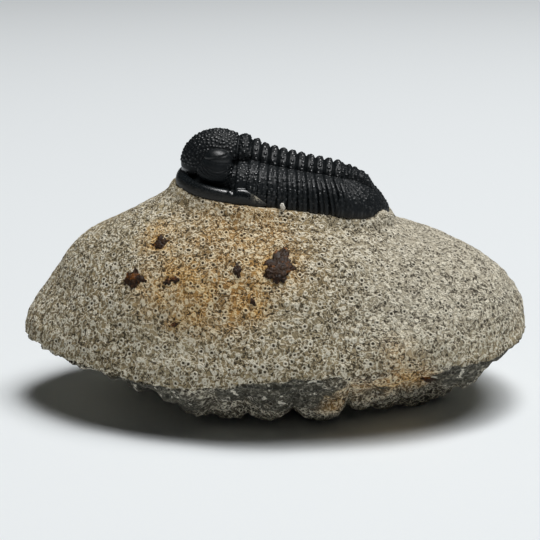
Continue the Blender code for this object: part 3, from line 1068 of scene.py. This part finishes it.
# %% The shared group
def make_grain_group():
    group = bpy.data.node_groups.new("fine_grain", "ShaderNodeTree")
    size = group.interface.new_socket("Grains per mm", in_out="INPUT", socket_type="NodeSocketFloat")
    size.default_value = 4.0
    for name in ("Mask", "Height"):
        group.interface.new_socket(name, in_out="OUTPUT", socket_type="NodeSocketFloat")
    nodes = Nodes(group)
    inside = nodes.add("NodeGroupInput")
    outside = nodes.add("NodeGroupOutput")
    vector = nodes.mm_coordinates()
    soft = nodes.noise(vector, inside.outputs["Grains per mm"], 5.0, 0.65)
    mask = nodes.span(soft, 0.32, 0.68)
    nodes.feed(outside.inputs["Mask"], mask)
    nodes.feed(outside.inputs["Height"], soft)
    return group


GRAIN_GROUP = make_grain_group()


def place_grain(nodes, per_mm):
    node = nodes.add("ShaderNodeGroup", node_tree=GRAIN_GROUP)
    node.inputs["Grains per mm"].default_value = per_mm
    return node.outputs["Mask"], node.outputs["Height"]


def new_material(name, roughness):
    material = bpy.data.materials.new(name)
    material.use_nodes = True
    shader = material.node_tree.nodes["Principled BSDF"]
    shader.inputs["Roughness"].default_value = roughness
    return material, Nodes(material.node_tree), shader


print("the group gives:", [item.name for item in GRAIN_GROUP.interface.items_tree])

# %% [markdown]
# ## Black shell
# The shell is black with a faint cold tint. It is half gloss on its beads and its rim, which
# handling has polished, and dull between them. Stone dust on the lower edge turns the black
# into a brownish grey. Dust, powder and polish are numbers on each point of the mesh.


# %% Shell material
def shell_material():
    material, nodes, shader = new_material("black_shell", 0.36)
    mask, height = place_grain(nodes, 5.0)
    black = nodes.blend(mask, srgb(6, 10, 12), srgb(23, 28, 31))
    dusty = nodes.blend(mask, srgb(22, 21, 18), srgb(88, 82, 70))
    dust = nodes.math("MULTIPLY", nodes.attribute("dust"), nodes.span(mask, 0.0, 1.0, 0.35, 0.9))
    colour = nodes.blend(dust, black, dusty)
    powder = nodes.math("MULTIPLY", nodes.attribute("powder"), nodes.span(mask, 0.3, 0.6))
    nodes.feed(shader.inputs["Base Color"], nodes.blend(powder, colour, srgb(176, 168, 150)))
    rough = nodes.span(nodes.attribute("polish"), 0.0, 1.0, 0.55, 0.16)
    rough = nodes.math("ADD", rough, nodes.span(mask, 0.0, 1.0, -0.04, 0.12))
    nodes.feed(shader.inputs["Roughness"], nodes.math("ADD", rough, nodes.math("MULTIPLY", dust, 0.3)))
    glint = nodes.span(nodes.attribute("polish"), 0.0, 1.0, 0.12, 1.0)
    nodes.feed(shader.inputs["Specular IOR Level"], glint)
    nodes.feed(shader.inputs["Normal"], nodes.bump(height, 0.03 * MM, 0.5))
    return material


SHELL = shell_material()
for piece in shell_pieces:
    piece.data.materials.clear()
    piece.data.materials.append(SHELL)
print("shell pieces:", len(shell_pieces))


# %% [markdown]
# ## Limestone
# Seen close, the frosted stone is a field of worm-like cracks and tiny pits with pale rims.
# The cracks are where a cloud of noise passes through its middle value. The rims come from
# cells of noise, and chance picks the cells that have one. Both change tone and relief.
# Large soft clouds make the ground warmer or colder, the rust number brings in the ochre,
# and fresh breaks are dark, layered and have white flecks. The same dark colour is also painted
# shade on faces that look down, and the upper right-hand part is made paler as painted light.


# %% Cracks, curls and rings
def line_between(nodes, cloud, low, high):
    """1 where a cloud of noise passes through its middle value, 0 away from there."""
    away = nodes.math("ABSOLUTE", nodes.math("SUBTRACT", cloud, 0.5))
    return nodes.span(away, low, high, 1.0, 0.0)


def worm_tone(nodes, vector):
    """A tone around 1: dark cracks, dots and holes take away, pale curls, rims and specks add."""
    shifted = nodes.add("ShaderNodeVectorMath", operation="ADD")
    nodes.feed(shifted.inputs[0], vector)
    shifted.inputs[1].default_value = (31.0, 17.0, 53.0)
    crack = line_between(nodes, nodes.noise(vector, 1.9, 1.5, 0.5), 0.012, 0.055)
    crack = nodes.math("MULTIPLY", crack, nodes.span(nodes.noise(vector, 0.8, 2.0), 0.38, 0.54))
    curl = line_between(nodes, nodes.noise(shifted.outputs["Vector"], 1.6, 1.5, 0.5), 0.015, 0.06)
    cells = nodes.cells(vector, 1.2)
    chance = nodes.span(cells.outputs["Color"], 0.33, 0.35)
    distance = cells.outputs["Distance"]
    hole = nodes.math("MULTIPLY", nodes.span(distance, 0.10, 0.18, 1.0, 0.0), chance)
    rim = nodes.math("ABSOLUTE", nodes.math("SUBTRACT", distance, 0.29))
    rim = nodes.math("MULTIPLY", nodes.span(rim, 0.04, 0.12, 1.0, 0.0), chance)
    speck = nodes.span(nodes.noise(vector, 2.7, 2.0), 0.52, 0.66)
    dots = nodes.span(nodes.noise(vector, 2.0, 2.0), 0.46, 0.37)
    layers = ((speck, 1.0), (curl, 1.2), (rim, 1.7), (crack, -1.1), (dots, -0.45), (hole, -1.7))
    tone = 0.78
    for layer, weight in layers:
        tone = nodes.math("ADD", tone, nodes.math("MULTIPLY", layer, weight))
    streak = nodes.add("ShaderNodeMapping")
    nodes.feed(streak.inputs["Vector"], vector)
    streak.inputs["Rotation"].default_value = (0.0, math.radians(24), 0.0)
    streak.inputs["Scale"].default_value = (0.3, 0.3, 2.4)
    lines = nodes.span(nodes.noise(streak.outputs["Vector"], 1.0, 3.0), 0.36, 0.64, -0.22, 0.22)
    return nodes.math("ADD", tone, lines)


print("six layers and a streak make one tone")


# %% Ground colour
def stone_ground(nodes, vector, mask):
    """The colour before the fine texture, and the colour of the pale curls and rims on it."""
    clouds = nodes.span(nodes.noise(vector, 0.12, 3.0), 0.35, 0.65)
    ground = nodes.blend(clouds, srgb(162, 143, 104), srgb(184, 168, 133))
    # Painted light: the upper right-hand part is blended towards a pale colour.
    ground = nodes.blend(nodes.attribute("painted_light_right_top"), ground, srgb(204, 196, 176))
    rind = nodes.blend(mask, srgb(70, 66, 56), srgb(150, 140, 118))
    ground = nodes.blend(nodes.attribute("broken"), ground, rind)
    rusty = nodes.blend(clouds, srgb(184, 130, 58), srgb(220, 170, 96))
    patches = nodes.span(nodes.noise(vector, 0.5, 5.0, 0.7), 0.35, 0.65, 0.5, 1.2)
    rust = nodes.math("MULTIPLY", nodes.attribute("rust"), patches)
    ground = nodes.blend(nodes.span(rust, 0.04, 0.75), ground, rusty)
    flecks = nodes.span(nodes.noise(vector, 0.75, 3.0), 0.62, 0.645)
    layers = nodes.add("ShaderNodeMapping")
    nodes.feed(layers.inputs["Vector"], vector)
    layers.inputs["Rotation"].default_value = (0.0, math.radians(12), 0.0)
    layers.inputs["Scale"].default_value = (0.5, 0.5, 3.0)
    layer_mask = nodes.span(nodes.noise(layers.outputs["Vector"], 1.0, 5.0, 0.7), 0.38, 0.64)
    # The dark colour of fresh breaks, layered and flecked, is also painted shade where faces look down.
    dark_break_and_shade = nodes.blend(layer_mask, srgb(30, 30, 25), srgb(84, 81, 68))
    dark_break_and_shade = nodes.blend(flecks, dark_break_and_shade, srgb(214, 208, 192))
    pale = nodes.blend(rust, srgb(240, 232, 211), srgb(250, 216, 150))
    return nodes.blend(nodes.attribute("dark_break_and_shade"), ground, dark_break_and_shade), pale


print("the ground has clouds, rind, rust and fresh breaks")


# %% Put the stone material together
def stone_material():
    material, nodes, shader = new_material("frosted_limestone", 0.92)
    vector = nodes.mm_coordinates()
    mask, height = place_grain(nodes, 2.6)
    ground, pale = stone_ground(nodes, vector, mask)
    # The texture is calmed where faces are darkened as fresh breaks and as painted shade.
    calm = nodes.math("MULTIPLY", nodes.attribute("dark_break_and_shade"), 0.65)
    tone = nodes.math("SUBTRACT", worm_tone(nodes, vector), 1.0)
    tone = nodes.math("MULTIPLY", tone, nodes.math("SUBTRACT", 1.0, calm))
    tone = nodes.math("SUBTRACT", tone, nodes.span(nodes.attribute("pit"), 0.3, 1.0, 0.0, 0.4))
    tone = nodes.math("ADD", tone, nodes.span(mask, 0.0, 1.0, -0.15, 0.15))
    colour = nodes.blend(nodes.span(tone, 0.0, -0.95, 0.0, 0.93), ground, srgb(46, 38, 25))
    light = nodes.math("MULTIPLY", nodes.span(tone, 0.0, 1.0), nodes.math("SUBTRACT", 1.0, calm))
    colour = nodes.blend(light, colour, pale)
    nodes.feed(shader.inputs["Base Color"], colour)
    relief = nodes.math("ADD", nodes.math("MULTIPLY", tone, 0.6), nodes.math("MULTIPLY", height, 0.5))
    nodes.feed(shader.inputs["Normal"], nodes.bump(relief, 0.14 * MM, 0.9))
    return material


stone.data.materials.clear()
stone.data.materials.append(stone_material())
print("nodes in the stone's material:", len(stone.active_material.node_tree.nodes))

# %% [markdown]
# ## Rusty grains
# The grains are dark brown and glassy where they are fresh, and orange where they have
# rusted through. Noise chooses between the two.


# %% Grain and splinter materials
def grain_material():
    material, nodes, shader = new_material("rusty_grain", 0.3)
    vector = nodes.mm_coordinates()
    mask, height = place_grain(nodes, 3.0)
    brown = nodes.blend(mask, srgb(26, 17, 10), srgb(70, 46, 26))
    orange = nodes.span(nodes.noise(vector, 0.9, 4.0), 0.58, 0.68)
    nodes.feed(shader.inputs["Base Color"], nodes.blend(orange, brown, srgb(146, 90, 40)))
    nodes.feed(shader.inputs["Roughness"], nodes.span(mask, 0.0, 1.0, 0.25, 0.7))
    shader.inputs["Specular IOR Level"].default_value = 0.25
    nodes.feed(shader.inputs["Normal"], nodes.bump(height, 0.1 * MM, 0.7))
    return material


def splinter_material():
    material, nodes, shader = new_material("pale_splinter", 0.8)
    mask, height = place_grain(nodes, 4.0)
    nodes.feed(shader.inputs["Base Color"], nodes.blend(mask, srgb(212, 205, 190), srgb(250, 246, 236)))
    nodes.feed(shader.inputs["Normal"], nodes.bump(height, 0.05 * MM, 0.6))
    return material


RUST = grain_material()
for piece in grain_pieces:
    piece.data.materials.append(RUST)
chip.data.materials.append(splinter_material())
print("materials:", sorted(material.name for material in bpy.data.materials if material.users))

# %% [markdown]
# ## The skin and the solids
# The fine skin may stand a little proud of the solids.
